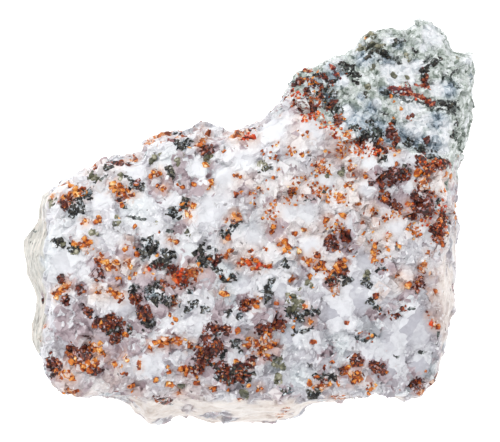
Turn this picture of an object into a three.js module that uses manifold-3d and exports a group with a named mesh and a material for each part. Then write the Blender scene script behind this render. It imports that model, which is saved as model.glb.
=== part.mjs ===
// Rough rock: a hand-sized lump of coarse granular rock, broken off with a hammer and left as it came.
//
// It is one natural piece, so it is one mesh. Units are millimetres and +Z is up. The rock lies on its
// broad back: the origin is on the resting surface, under the middle of the rock's bounding box, and +X
// runs along its longest side. Its skin is found by walking straight out from a point inside it, in
// many directions, until each walk leaves the rock.

import * as THREE from "three";
import * as BufferGeometryUtils from "three/addons/utils/BufferGeometryUtils.js";
import Module from "manifold-3d";

// ---- Driving dimensions ----

const MIDDLE = new THREE.Vector3(6, -6, 18); // the point inside the rock that the walks start from
const WIDEST_HEIGHT = 14; // height at which the rock is widest
const SHOULDER_HEIGHT = 35; // height at which the walls meet the broad face
const UNDERCUT = 3.5; // how far the walls pull in at the resting surface
const WALL_CURVE = 1.5; // how strongly the walls round over towards the shoulder; 1 is a straight lean
const EDGE_ROUND = 1.6; // rounding where a wall meets a broken face

// Broad swells and small chipped facets that roughen every face.
const SWELL_SIZE = 17;
const SWELL_HEIGHT = 1.5;
const CHIP_SIZE = 8;
const CHIP_SLOPE = 0.3;
const CHIP_BORDER = 0.4; // share of a chip's size over which it levels out

// The step along the edge of the finer-grained corner, which lies lower than the rest of the face.
const CORNER_STEP = 1.4;
const CORNER_EDGE = [new THREE.Vector2(5, 25), new THREE.Vector2(42, 10)];
const CORNER_EDGE_WIDTH = 2.5;

// The rock's widest section, seen from above and walked clockwise. The third number of each point is
// how far in from that point the top of the wall lies.
const OUTLINE = [
  // left end, and the long edge that steps up to the right
  [-41.9, 5.5, 2], [-37.6, 8.6, 2], [-28.5, 13.3, 2], [-22.4, 12.9, 2], [-20.8, 16.6, 2.5],
  [-14.2, 18, 2.5], [-10.1, 19.8, 2.5], [-5, 18.3, 2.5], [0.1, 20.1, 2.5],
  // neck and horn
  [4.6, 22.8, 2], [7.2, 26, 1.5], [6, 28.8, 1.5], [11.8, 30.7, 2], [15.6, 33.3, 2.5], [19.9, 34.1, 3],
  [23.3, 38.9, 3], [27.4, 38.3, 3], [31.2, 39, 3], [33.6, 41, 3], [36, 40.9, 3], [37.6, 39.4, 3],
  [40.4, 36.8, 3], [39.9, 33.9, 3], [44.7, 33.9, 4], [45.2, 30.1, 4],
  // right side
  [43.8, 22, 3], [42.8, 15.9, 3], [41.6, 8.5, 3], [42.6, 0.1, 3], [41.9, -5.2, 3.5], [41.3, -12.5, 3.5],
  [39.8, -25.5, 3], [38.4, -32, 1.5], [34.6, -37, 1.5], [29.5, -36.6, 1.5],
  // lower edge with its smooth bevel and its tongue
  [24.9, -34.2, 1.5], [11.2, -36.8, 3.5], [10, -39.5, 5], [5.3, -40.7, 5.5], [-4.6, -40.9, 6],
  [-9.5, -40, 6], [-15.3, -38, 5], [-18.1, -40.3, 5.5], [-20.5, -40.3, 5.5], [-24.7, -35.8, 2],
  [-36.5, -35.6, 2], [-41, -33, 2],
  // ribbed left side
  [-41.9, -29.2, 2.5], [-44.9, -24.4, 4.5], [-45.4, -21.8, 4.5], [-43.3, -15.5, 4],
  [-45.4, -9.9, 5.5], [-45.6, -4.6, 5.5], [-42.6, -0.9, 3],
];

// Broken faces above and below: the compass turn of the outward normal from +X, its tilt above the
// horizon, both in degrees, and the face's distance from MIDDLE.
const BROKEN_FACES = [
  [300, 87.5, 18.2], // broad face
  [115, 68, 24.6], // falls away along the stepped edge
  [215, 76, 26.6], // falls away to the lower left
  [345, 70, 25.4], // falls away along the right side
  [48, 69, 27.6], // falls away over the horn
  [0, -90, 19.3], // the back, which the resting facet is cut from
  [180, -72, 25.6], // underside, left
  [10, -70, 22.6], // underside, right
  [265, -68, 22.4], // underside, lower edge
  [80, -60, 27.6], // underside, horn
  [130, -64, 26.6], // underside, stepped edge
];

// ---- Chance that is the same every time ----

function chance(x, y, z, turn) {
  const wave = Math.sin(x * 127.1 + y * 311.7 + z * 74.7 + turn * 53.3) * 43758.5453;
  return wave - Math.floor(wave);
}

function swell(p, size) {
  const corner = [p.x / size, p.y / size, p.z / size].map(Math.floor);
  const part = [p.x / size, p.y / size, p.z / size].map((v, i) => v - corner[i]);
  const ease = part.map((t) => t * t * (3 - 2 * t));
  let sum = 0;
  for (let i = 0; i < 8; i++) {
    const step = [i & 1, (i >> 1) & 1, (i >> 2) & 1];
    const weight = step.reduce((w, s, axis) => w * (s ? ease[axis] : 1 - ease[axis]), 1);
    sum += weight * chance(corner[0] + step[0], corner[1] + step[1], corner[2] + step[2], 1);
  }
  return sum * 2 - 1;
}

// Height of a flat chip: the nearest scattered centre owns the point and tilts its patch its own way.
// The patch levels out towards its border, so that the skin has no torn steps.
function chip(p, size) {
  const home = [p.x / size, p.y / size, p.z / size].map(Math.floor);
  let nearest = Infinity;
  let second = Infinity;
  let height = 0;
  for (let i = 0; i < 27; i++) {
    const cell = [(i % 3) - 1, (Math.floor(i / 3) % 3) - 1, Math.floor(i / 9) - 1].map(
      (step, axis) => home[axis] + step,
    );
    const centre = cell.map((c, axis) => (c + chance(...cell, 2 + axis)) * size);
    const away = [p.x - centre[0], p.y - centre[1], p.z - centre[2]];
    const distance = Math.hypot(...away);
    if (distance < nearest) {
      second = nearest;
      nearest = distance;
      height = away.reduce((sum, a, axis) => sum + a * (chance(...cell, 5 + axis) * 2 - 1), 0);
    } else if (distance < second) {
      second = distance;
    }
  }
  return height * THREE.MathUtils.smoothstep(second - nearest, 0, size * CHIP_BORDER);
}

// ---- The rock's shape: each function is below zero inside the rock and above zero outside ----

// Distance outside the outline, and how far in the top of the wall lies at the nearest point of it.
function outline(x, y) {
  let nearest = Infinity;
  let shoulder = 0;
  let inside = false;
  for (let i = 0; i < OUTLINE.length; i++) {
    const [ax, ay, aIn] = OUTLINE[i];
    const [bx, by, bIn] = OUTLINE[(i + 1) % OUTLINE.length];
    const [ex, ey] = [bx - ax, by - ay];
    const along = ((x - ax) * ex + (y - ay) * ey) / (ex * ex + ey * ey);
    const t = THREE.MathUtils.clamp(along, 0, 1);
    const distance = Math.hypot(x - ax - ex * t, y - ay - ey * t);
    if (distance < nearest) {
      nearest = distance;
      shoulder = aIn + (bIn - aIn) * t;
    }
    if (ay > y !== by > y && x < ax + (ex * (y - ay)) / ey) {
      inside = !inside;
    }
  }
  return { outside: inside ? -nearest : nearest, shoulder };
}

function wall(p) {
  const { outside, shoulder } = outline(p.x, p.y);
  const above = Math.max(0, (p.z - WIDEST_HEIGHT) / (SHOULDER_HEIGHT - WIDEST_HEIGHT));
  const below = Math.max(0, (WIDEST_HEIGHT - p.z) / WIDEST_HEIGHT);
  return outside + shoulder * above ** WALL_CURVE + UNDERCUT * below ** 2;
}

const faces = BROKEN_FACES.map(([turn, tilt, distance]) => {
  const azimuth = THREE.MathUtils.degToRad(turn);
  const rise = THREE.MathUtils.degToRad(tilt);
  const level = Math.cos(rise);
  const normal = new THREE.Vector3(level * Math.cos(azimuth), level * Math.sin(azimuth), Math.sin(rise));
  return { normal, distance };
});

function brokenFaces(p) {
  const away = p.clone().sub(MIDDLE);
  return Math.max(...faces.map(({ normal, distance }) => normal.dot(away) - distance));
}

function cornerStep(p) {
  const [a, b] = CORNER_EDGE;
  const across = new THREE.Vector2(a.y - b.y, b.x - a.x).normalize();
  const past = across.dot(new THREE.Vector2(p.x - a.x, p.y - a.y));
  const share = THREE.MathUtils.smoothstep(past, -CORNER_EDGE_WIDTH / 2, CORNER_EDGE_WIDTH / 2);
  const onTop = THREE.MathUtils.smoothstep(p.z, WIDEST_HEIGHT, (WIDEST_HEIGHT + 2 * SHOULDER_HEIGHT) / 3);
  return CORNER_STEP * share * onTop;
}

function roundedJoin(a, b) {
  const blend = Math.max(EDGE_ROUND - Math.abs(a - b), 0) / EDGE_ROUND;
  return Math.max(a, b) + (blend * blend * EDGE_ROUND) / 4;
}

function outsideRock(p) {
  const skin = roundedJoin(wall(p), brokenFaces(p) + cornerStep(p));
  return skin + swell(p, SWELL_SIZE) * SWELL_HEIGHT + chip(p, CHIP_SIZE) * CHIP_SLOPE;
}

// ---- The skin ----

const SKIN_STEPS = 22; // splits of each icosahedron edge; the skin has 20 x (steps + 1)^2 triangles
const REACH = 70; // longer than any walk to the skin
const STRIDE = 1; // length of each step of a walk
const HALVINGS = 18; // times that the last stride is halved to find the skin
const SAME_POINT = 1e-4; // corners closer than this are one corner
const DRUM_RADIUS = 42;
const DRUM_HEIGHT = 18; // from its middle to each flat end
const CAP_SHARE = DRUM_RADIUS / (DRUM_RADIUS + 2 * DRUM_HEIGHT);

// Spreads a point of the unit sphere over a flat drum about as big as the rock, keeping areas in
// proportion, so that triangles are about the same size on every face.
function towardsDrum(point) {
  const up = Math.abs(point.z);
  const level = Math.hypot(point.x, point.y) || 1;
  const onCap = up > 1 - CAP_SHARE;
  const radius = DRUM_RADIUS * (onCap ? Math.sqrt((1 - Math.min(up, 1)) / CAP_SHARE) : 1);
  const height = onCap ? DRUM_HEIGHT * Math.sign(point.z) : (DRUM_HEIGHT * point.z) / (1 - CAP_SHARE);
  return new THREE.Vector3((point.x / level) * radius, (point.y / level) * radius, height).normalize();
}

function walkOut(direction) {
  const at = (distance) => MIDDLE.clone().addScaledVector(direction, distance);
  let near = 0;
  let far = STRIDE;
  while (far < REACH && outsideRock(at(far)) < 0) {
    near = far;
    far += STRIDE;
  }
  for (let i = 0; i < HALVINGS; i++) {
    const half = (near + far) / 2;
    if (outsideRock(at(half)) < 0) {
      near = half;
    } else {
      far = half;
    }
  }
  return at(near);
}

function mergedPositions(geometry) {
  geometry.deleteAttribute("normal");
  geometry.deleteAttribute("uv");
  return BufferGeometryUtils.mergeVertices(geometry, SAME_POINT);
}

function rockSkin() {
  const skin = mergedPositions(new THREE.IcosahedronGeometry(1, SKIN_STEPS));
  const position = skin.attributes.position;
  for (let i = 0; i < position.count; i++) {
    const place = walkOut(towardsDrum(new THREE.Vector3().fromBufferAttribute(position, i)));
    position.setXYZ(i, place.x, place.y, place.z);
  }
  return skin;
}

// ---- The resting facet: everything below the surface that the rock lies on is cut away ----

const wasm = await Module();
wasm.setup();

function toSolid(geometry) {
  return new wasm.Manifold(
    new wasm.Mesh({
      numProp: 3,
      vertProperties: geometry.attributes.position.array,
      triVerts: new Uint32Array(geometry.index.array),
    }),
  );
}

function toGeometry(solid) {
  const { vertProperties, triVerts } = solid.getMesh();
  const geometry = new THREE.BufferGeometry();
  geometry.setAttribute("position", new THREE.BufferAttribute(vertProperties, 3));
  geometry.setIndex(new THREE.BufferAttribute(triVerts, 1));
  return geometry;
}

const belowSurface = new THREE.BoxGeometry(4 * DRUM_RADIUS, 4 * DRUM_RADIUS, DRUM_HEIGHT);
belowSurface.translate(0, 0, -DRUM_HEIGHT / 2);
const cut = toSolid(rockSkin()).subtract(toSolid(mergedPositions(belowSurface)));
const rockGeometry = toGeometry(cut);

// The cut leaves the rock standing on z = 0; its bounding box is centred on the origin in X and Y.
rockGeometry.computeBoundingBox();
const boxMiddle = rockGeometry.boundingBox.getCenter(new THREE.Vector3());
rockGeometry.translate(-boxMiddle.x, -boxMiddle.y, 0);
rockGeometry.computeVertexNormals();

const granularRock = new THREE.MeshStandardMaterial({
  color: 0xd9d4d8,
  roughness: 0.55,
  metalness: 0,
  flatShading: true,
});

const roughRock = new THREE.Mesh(rockGeometry, granularRock);
roughRock.name = "rough_rock";

const object = new THREE.Group();
object.add(roughRock);

export default object;
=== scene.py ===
"""Rough rock: the looks of a hand-sized lump of coarse granular rock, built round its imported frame.

The CAD solid gives the shape. Here its skin becomes broken crystal faces, and the minerals that show in
it are set in as grains and flakes of their own. Everything is in metres; names that end in _MM are
millimetres.
"""

import math
from types import SimpleNamespace

import bpy
import numpy as np
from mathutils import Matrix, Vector, noise


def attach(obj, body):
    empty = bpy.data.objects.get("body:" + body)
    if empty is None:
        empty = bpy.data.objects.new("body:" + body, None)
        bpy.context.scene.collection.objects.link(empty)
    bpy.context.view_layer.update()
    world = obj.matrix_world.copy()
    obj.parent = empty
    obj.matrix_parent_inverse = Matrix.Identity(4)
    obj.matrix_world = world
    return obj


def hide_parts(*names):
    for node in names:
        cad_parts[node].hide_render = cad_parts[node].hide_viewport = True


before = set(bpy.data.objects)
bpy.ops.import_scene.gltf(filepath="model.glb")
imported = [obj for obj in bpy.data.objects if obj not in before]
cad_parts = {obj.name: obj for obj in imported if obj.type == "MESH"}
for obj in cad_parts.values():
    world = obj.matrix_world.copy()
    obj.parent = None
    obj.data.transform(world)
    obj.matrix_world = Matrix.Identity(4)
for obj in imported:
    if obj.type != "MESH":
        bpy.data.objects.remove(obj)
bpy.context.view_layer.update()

MM = 0.001
ROCK = "rough_rock"

# ---- Driving dimensions ----

SKIN_GRID_MM = 0.5 # width of the squares that the skin is remeshed to
CRYSTAL_MM = 3.4 # usual width of a large pale crystal
CHIP_MM = 1.15 # usual width of the small chips that a crystal breaks into
SUGAR_MM = 0.5 # width of the finest broken grains
CORNER_GRAIN_MM = 0.62 # width of the fine grains in the grey-green corner
CUT_BACK_MM = 0.3 # how far the broken faces lie inside the solid's skin on average
WANDER_MM = 2.2 # how far the facets' pattern is pulled about, so that crystals are uneven
CHIP_SHIFT = 11.0 # sets the chips' pattern apart from the crystals', alike in the skin and its material
CALMED = 0.85 # share of the broken relief that the smooth bands and clean crystals lose
CROWDING = 2.6 # grains tried for each square of the spacing, before those too close are dropped
BALL_RADIUS = 0.56 # radius of a fully rounded grain, as a share of its width


# ---- Small tools ----


def colour(hex_code):
    """sRGB hex to linear RGBA."""
    parts = [int(hex_code[i : i + 2], 16) / 255 for i in (1, 3, 5)]
    linear = [c / 12.92 if c <= 0.04045 else ((c + 0.055) / 1.055) ** 2.4 for c in parts]
    return (*linear, 1.0)


MATH = "ShaderNodeMath"
VECTOR = "ShaderNodeVectorMath"
JOIN = "ShaderNodeCombineXYZ"
SPLIT = "ShaderNodeSeparateXYZ"
MIX = "ShaderNodeMix"
RANGE = "ShaderNodeMapRange"
RAMP = "ShaderNodeValToRGB"
NOISE = "ShaderNodeTexNoise"
CELLS = "ShaderNodeTexVoronoi"
ATTRIBUTE = "ShaderNodeAttribute"
POSITION = "GeometryNodeInputPosition"
STORED = "GeometryNodeInputNamedAttribute"
STORE = "GeometryNodeStoreNamedAttribute"
MOVE = "GeometryNodeSetPosition"


def feed(tree, node, inputs):
    """Fills a node's inputs, counted or named, with values, outputs, or nodes for their first output."""
    for key, value in inputs.items():
        if value is None:
            continue
        if isinstance(key, int):
            socket = node.inputs[key]
        else:
            socket = next(s for s in node.inputs if s.name == key and s.enabled)
        if isinstance(value, bpy.types.Node):
            value = next(s for s in value.outputs if s.enabled)
        if isinstance(value, bpy.types.NodeSocket):
            tree.links.new(value, socket)
        else:
            socket.default_value = value


def add(tree, kind, *values, inputs=None, stops=None, **settings):
    """Adds a node with its settings, its inputs and, on a ramp, its (place, hex) stops."""
    made = tree.nodes.new(kind)
    for name, value in settings.items():
        setattr(made, name, value)
    for i, (place, hex_code) in enumerate(stops or []):
        elements = made.color_ramp.elements
        element = elements[i] if i < len(elements) else elements.new(place)
        element.position = place
        element.color = colour(hex_code)
    feed(tree, made, dict(enumerate(values)))
    feed(tree, made, inputs or {})
    return made


def facets(tree, place_mm, per_mm, slope, shift=0.0):
    """Flat facets, so many to a mm, each tilted its own way: their height in mm, and three random
    numbers for each."""
    moved = add(tree, VECTOR, place_mm, (shift, shift, shift), operation="ADD")
    cells = add(
        tree, CELLS, inputs={"Vector": moved, "Scale": per_mm}, voronoi_dimensions="3D", feature="F1"
    )
    away = add(tree, VECTOR, moved, cells.outputs["Position"], operation="SUBTRACT")
    tilt = add(tree, VECTOR, cells.outputs["Color"], (0.5, 0.5, 0.4), operation="SUBTRACT")
    height = add(tree, VECTOR, away, tilt, operation="DOT_PRODUCT").outputs["Value"]
    height = add(tree, MATH, height, slope, operation="MULTIPLY")
    return height, add(tree, SPLIT, cells.outputs["Color"]).outputs


def sugary(tree, crystal):
    """How strongly a crystal is broken into chips: some cleave smooth, the others crumble like sugar."""
    return add(tree, RANGE, crystal["Z"], 0.35, 0.5, 1.0, 0.2)


def new_tree(name, sizes):
    """A Geometry Nodes tree with named inputs for its sizes."""
    tree = bpy.data.node_groups.new(name, "GeometryNodeTree")
    tree.interface.new_socket("Geometry", in_out="INPUT", socket_type="NodeSocketGeometry")
    tree.interface.new_socket("Geometry", in_out="OUTPUT", socket_type="NodeSocketGeometry")
    for size_name, value in sizes.items():
        kind = {float: "Float", int: "Int", str: "String", type(None): "Material"}[type(value)]
        socket = tree.interface.new_socket(size_name, in_out="INPUT", socket_type="NodeSocket" + kind)
        socket.default_value = value
    return tree, tree.nodes.new("NodeGroupInput").outputs, tree.nodes.new("NodeGroupOutput")


def run_tree(name, mesh, tree, values):
    """Runs a tree on a mesh and returns the result as a plain object of that name."""
    source = bpy.data.objects.new(name + "_source", mesh)
    bpy.context.scene.collection.objects.link(source)
    modifier = source.modifiers.new(tree.name, "NODES")
    modifier.node_group = tree
    sockets = {s.name: s.identifier for s in tree.interface.items_tree if s.in_out == "INPUT"}
    for key, value in values.items():
        modifier[sockets[key]] = value
    graph = bpy.context.evaluated_depsgraph_get()
    result = bpy.data.meshes.new_from_object(
        source.evaluated_get(graph), preserve_all_data_layers=True, depsgraph=graph
    )
    bpy.data.objects.remove(source)
    result.name = name
    made = bpy.data.objects.new(name, result)
    bpy.context.scene.collection.objects.link(made)
    return made


# ---- Camera, light and floor ----

# The rock is seen straight from above, as it lies. VIEW_WIDTH is what the frame takes in at the height
# where the rock is widest.
VIEW_WIDTH = 101.2 * MM
WIDEST_HEIGHT = 14 * MM
LENS_MM = 200.0
SENSOR_MM = 36.0

camera_data = bpy.data.cameras.new("camera")
camera_data.lens = LENS_MM
camera_data.sensor_width = SENSOR_MM
camera = bpy.data.objects.new("camera", camera_data)
camera.location = (0.1 * MM, 0.3 * MM, WIDEST_HEIGHT + VIEW_WIDTH * LENS_MM / SENSOR_MM)
bpy.context.scene.collection.objects.link(camera)
bpy.context.scene.camera = camera


def softbox(name, place, size, power):
    """A square soft light that faces the rock."""
    data = bpy.data.lights.new(name, "AREA")
    data.size = size
    data.energy = power
    light = bpy.data.objects.new(name, data)
    light.location = place
    light.rotation_euler = (Vector((0, 0, 0.02)) - Vector(place)).to_track_quat("-Z", "Y").to_euler()
    bpy.context.scene.collection.objects.link(light)


softbox("key_light", (-0.34, 0.34, 0.52), 0.3, 1.8)
softbox("fill_light", (0.55, -0.25, 0.45), 0.5, 0.5)

world = bpy.data.worlds.new("studio")
world.use_nodes = True
world.node_tree.nodes["Background"].inputs["Color"].default_value = colour("#ffffff")
world.node_tree.nodes["Background"].inputs["Strength"].default_value = 1.0
bpy.context.scene.world = world
bpy.context.scene.view_settings.view_transform = "Standard"
bpy.context.scene.view_settings.look = "None"


FLOOR_RADIUS = 3.0
FLOOR_CORNERS = 64


def studio_floor():
    """A wide round sheet of white light table under the rock, which shows almost no shadow."""
    mesh = bpy.data.meshes.new("studio_floor")
    angles = np.linspace(0, 2 * math.pi, FLOOR_CORNERS + 1)[:-1]
    rim = [(FLOOR_RADIUS * math.cos(a), FLOOR_RADIUS * math.sin(a), 0.0) for a in angles]
    mesh.from_pydata(rim, [], [list(range(FLOOR_CORNERS))])
    floor = bpy.data.objects.new("studio_floor", mesh)
    bpy.context.scene.collection.objects.link(floor)
    material = bpy.data.materials.new("white_light_table")
    material.use_nodes = True
    shader = material.node_tree.nodes["Principled BSDF"]
    shader.inputs["Base Color"].default_value = colour("#fbfbfb")
    shader.inputs["Roughness"].default_value = 0.9
    shader.inputs["Specular IOR Level"].default_value = 0.1
    shader.inputs["Emission Color"].default_value = colour("#ffffff")
    shader.inputs["Emission Strength"].default_value = 0.45
    mesh.materials.append(material)


studio_floor()


# ---- Where each mineral shows on the broad face ----
# Spots as seen from above, in mm from the middle of the rock: x, y, radius, and for a streak its other end.

ORANGE_SPOTS = [
    (-31.5, 11.3, 1.9), (-26, 12.7, 1.4), (-23.2, 12.7, 1.1), (-38.7, 5.3, 1.1),
    (-36, 5.2, 1.4, -32.5, 6), (-26.5, 7.2, 1.5, -23.5, 5.7), (-18.2, 9.6, 1.2), (-17, 6.7, 1.2),
    (-9.6, 18.5, 1.1), (-9.6, 15.3, 1, -8.7, 17), (-3.5, 17.4, 1.1, 0.7, 17.1), (-7.4, 7, 0.9),
    (-2.4, 9.1, 0.7), (-12, 3.4, 1, -11.5, 1.3), (-2.9, 1.6, 0.9), (-4.5, 0.4, 0.7), (-4.6, -3.3, 0.8),
    (-32, 0.2, 1), (-33, -4.4, 1.1, -31.2, -4), (-28, -8.2, 1, -25.5, -8.5), (-28.8, -6.6, 0.9),
    (-23.7, -4.1, 1.1), (-23.7, -7.7, 1.1), (-19.7, -9, 1), (-15.3, -3.3, 0.9),
    (-14, -10.6, 1.7, -10.6, -9.6), (-38, -14, 1.2, -35.5, -12), (-29.3, -13.2, 1.2),
    (-27, -13.6, 1.3, -25, -14.3), (-14.8, -15.5, 0.9), (-19, -24.1, 1, -13.5, -22.9),
    (-11.6, -24.2, 1), (-31, -24, 1, -28.5, -25.6), (-35, -27, 1.1, -31.5, -28.6), (-30, -27.2, 1.2),
    (-26.4, -27.7, 0.9), (-24.2, -26.2, 1.2), (-21.5, -27.2, 0.7, -21.5, -28.6),
    (-37.8, -29.2, 1.1, -35, -30), (-39, -32.9, 0.9), (-36, -33.2, 1, -34.5, -33.6),
    (-40.7, -20.4, 0.8), (-41.6, -23.1, 0.8), (-22.5, -34.6, 0.8), (-13.9, -33.8, 0.9),
    (-8, -32.7, 0.6, -6.9, -32.5), (-13.3, -28.9, 0.9, -10.6, -29.2), (-1.8, -34.7, 1),
    (6, -38.6, 1.3, 7.2, -37.4), (1.7, -32.3, 0.9), (0.5, -23.5, 1.4), (2.2, -25.4, 1.4, 4.6, -24.5),
    (3.6, -22, 1), (0.4, -27.5, 1), (-2, -8, 0.9, 0.4, -7.2), (0.6, -9, 0.8, 3.9, -8.5),
    (-4.6, -6.4, 0.9), (-4.8, -13.8, 1), (0.8, -15.8, 1.2), (8.3, -10.7, 0.8),
    (6.4, -3.5, 0.9, 7.2, -5.4), (10.3, -7, 0.8, 12, -7.7), (12.8, -6.1, 0.9), (10.7, -1.6, 0.8),
    (14, -8.6, 1.3), (17.7, -8.3, 1.3, 16.3, -10.2), (16.5, -12.8, 0.6), (24.6, -4.8, 0.8, 24.3, -6.9),
    (21.9, -4.3, 0.6), (27, -2.4, 0.5, 26.6, -3.9), (25.2, -14.2, 0.8), (10.8, -16.2, 0.8),
    (11.6, -19.3, 0.9), (18.8, -29.7, 1.6, 21.5, -30), (23.8, -31.5, 0.8),
    (13.2, -32.3, 0.9, 15, -31.5), (16, -34.6, 0.9, 18.5, -34.5), (34.2, -33.8, 1.2), (36, -31.3, 0.8),
    (35.1, -18.3, 0.7), (36.2, -20, 1), (36.2, -14.2, 0.8), (30.5, -12, 0.9), (28.8, -10.4, 0.9),
    (33.3, -11.5, 1.2), (34.3, -8.3, 1), (35.5, -10, 0.8), (35, -6, 0.9), (37.8, -4.7, 0.6),
    (4.3, -1.2, 0.8), (38.3, 6.2, 0.8), (40.7, 3.7, 0.9), (39.5, 9.4, 1.3), (33.9, 8.7, 1.6),
    (22.5, 9.3, 0.9), (21.2, 3.7, 1), (24.7, 0, 0.9), (22, 0, 0.8), (15.2, 0.5, 0.9), (18.5, 1.1, 0.6),
]

FINE_ORANGE_SPOTS = [
    (8, 6.2, 1.3, 7.8, 4.6), (10.5, 5.5, 0.9), (12.5, 6.7, 1.6, 18, 4.7), (11, 8.4, 0.9), (2, 6.6, 1),
    (4.2, 1.6, 1.8), (1, 3.4, 1), (5, 3.8, 1), (18.2, 13.6, 2), (19.4, 8, 1.5), (8.3, 14, 1.3),
    (11.4, 13.4, 0.6), (12.5, 15.7, 0.6), (11.3, 17.1, 0.8), (5.3, 15.6, 0.8), (0.3, 5.7, 0.8),
    (10.8, 21, 1.6), (9.6, 24.3, 1.6), (13, 25, 1.7), (14.5, 23.4, 1.6), (8, 25.7, 1.2), (7, 27.4, 1),
    (6.6, 24.4, 0.9), (5.1, 21.6, 0.8), (14.8, 19.2, 1.6, 20.4, 15), (26, 16.3, 1), (27.8, 19.4, 0.9),
    (28.7, 14.4, 1.4), (30, 22.5, 0.6), (28.3, 24.1, 0.6), (34.6, 11.6, 1.9, 37.3, 11),
    (26.3, 0.8, 1, 30.5, 2), (35.3, 5.6, 1.3), (31, 3.4, 1.2), (38, 2.2, 1.6, 37.4, -3), (35, 0.5, 1.5),
    (14, 10.6, 2), (17.3, -0.8, 1.2), (24, 2, 1.3), (10, 30.2, 0.7, 13, 30.3), (15.6, 31.7, 0.6),
    (41.9, 13.3, 0.7), (9.3, 29, 1), (9.4, 24.4, 1.3, 14.6, 19.4), (20.4, 14.6, 1.4, 25, 13.6),
    (6.8, 29.4, 0.9), (7.6, 28, 0.8), (34.8, 24.4, 0.5), (23.4, 36.4, 0.6), (12, 28, 1.3),
    (20, 10.5, 1.4), (32.4, -1.6, 1.5),
]

DARK_RED_SPOTS = [
    (25.2, 8.6, 1.5, 29.4, 9.2), (27.8, 10, 1), (26.4, 4.7, 1.1, 29, 3), (32.6, 4.9, 1.6),
    (34.2, 3, 2.1), (31.8, 1.4, 1.2), (36.8, -1.9, 1.6), (33.6, 6.9, 1), (38, 1, 1.2), (16, -3.9, 1.6),
    (18.6, -2.7, 1.3), (19.6, -5.1, 0.8), (8, 5.8, 0.9), (12.4, 22.6, 1.3), (10, 23, 1.2),
    (15.3, 22.8, 0.7), (17, 20.6, 0.9), (16.8, 23.6, 0.7), (14, 27, 0.8), (27.4, 17.6, 1.2),
    (29, 16, 0.9), (34.9, 28.2, 0.6), (35, 10.6, 1.4), (37.8, 11.3, 1.1), (-36, 4, 1.5),
    (-27.6, 12.2, 1), (-25, 5.2, 0.9), (-8.3, 14.5, 1.3), (-22, 7.3, 0.9), (-13, -11.4, 1.6),
    (-16.4, -12.4, 1.2), (-22, -14.8, 1.4), (-20.6, -17.3, 1.6), (-26.5, -19.7, 2.3),
    (-29.5, -19.6, 1.3), (-31.5, -17.4, 1.3), (-26, -22.6, 1.5), (-32.3, -22.5, 0.8),
    (-34.8, -25.2, 1.6, -32, -25.6), (-38.7, -28.5, 2.1), (-39.5, -30, 1), (-36.8, -11, 1),
    (-31.4, -25.4, 1), (-29.7, -29, 1), (-8.6, -26, 2.2), (-6.4, -24, 1.5), (-7.2, -20.4, 1.4),
    (-4.5, -20.9, 1.3), (-8.7, -22.8, 1.2), (-5.3, -28.6, 1.9), (-2.2, -28.8, 1.3),
    (-4.5, -30.2, 1.4, -1.5, -29.8), (-10.5, -28.5, 1.4), (-16, -35.6, 1, -17.7, -35.2),
    (-6.4, -7, 1.4), (-0.6, -16, 1.5), (5.4, -19.6, 1.9), (1.8, -20.6, 1, 4, -20.8), (3.4, -25.6, 1.5),
    (0.2, -27.5, 1.2), (17.7, -9.4, 1.6), (16, -11.5, 1.3), (21.2, -26.7, 1.4), (24, -27.6, 1, 26, -29),
    (18.4, -29, 1), (33.6, -32.6, 1.7), (14.6, -31.4, 1), (28.7, -17.6, 1.3),
    (33.2, -11, 0.9, 33.6, -13), (-29, -10.3, 1), (-17.5, -8.3, 1.3), (-15, -9, 1.2), (-33, -12.8, 1),
    (-36, -15.4, 1.1), (13, -8.6, 0.9),
]

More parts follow.
